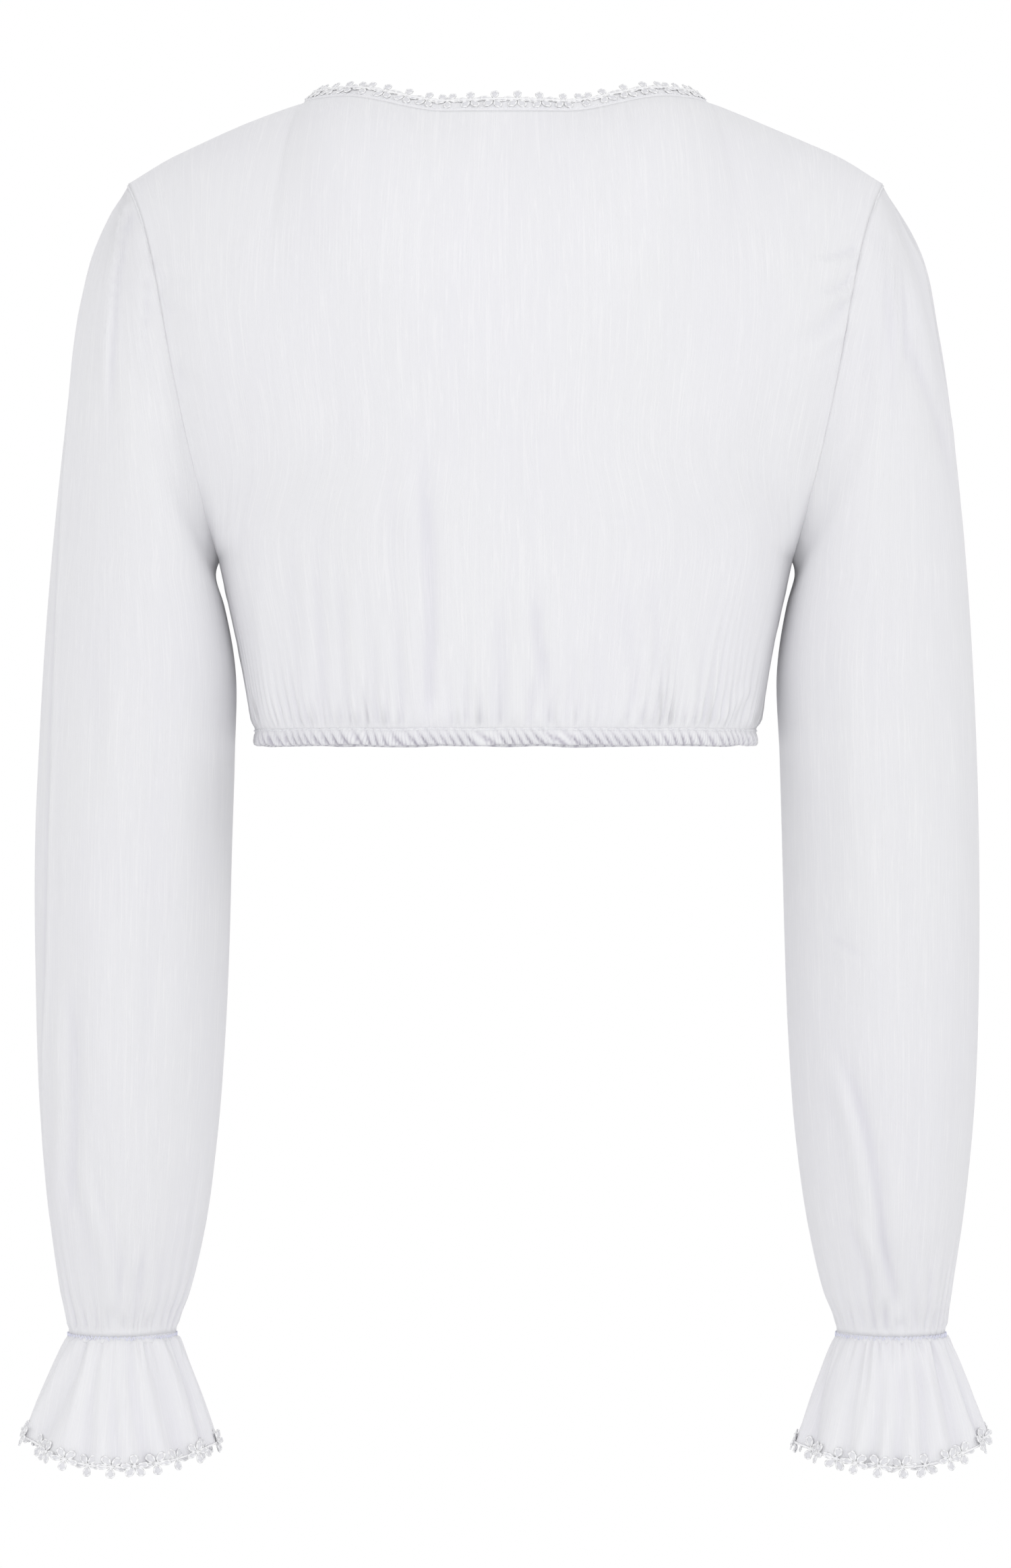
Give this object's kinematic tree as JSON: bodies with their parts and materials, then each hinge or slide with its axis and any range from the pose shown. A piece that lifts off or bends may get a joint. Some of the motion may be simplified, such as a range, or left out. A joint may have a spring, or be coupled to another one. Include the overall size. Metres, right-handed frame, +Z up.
{
  "type": "dirndl blouse",
  "caption": "Cropped dirndl blouse of sheer crinkled chiffon, with an elastic hem, long sleeves gathered at the wrist, flounced cuffs and flower lace at neck and cuffs.",
  "frame": {"origin": "between the wearer's shoulders, level with the neck end of the shoulder seams, where the shoulders hold the blouse", "axes": "+Z up, the front faces -Y, the back faces +Y, +X towards the wearer's left sleeve"},
  "size_m": [0.5054, 0.2213, 0.7246],
  "materials": {
    "chiffon": "sheer crinkled chiffon, matt",
    "lace": "embroidered lace, smooth thread",
    "elastic_thread": "elastic with zigzag stitching"
  },
  "bodies": {
    "root": {"back": "chiffon", "front": "chiffon", "sleeve_left": "chiffon", "sleeve_right": "chiffon", "flounce_left": "chiffon", "flounce_right": "chiffon", "neck_binding": "chiffon", "hem_casing": "chiffon", "wrist_elastic_left": "elastic_thread", "wrist_elastic_right": "elastic_thread", "neck_lace": "lace", "cuff_lace_left": "lace", "cuff_lace_right": "lace"}
  },
  "joints": []
}
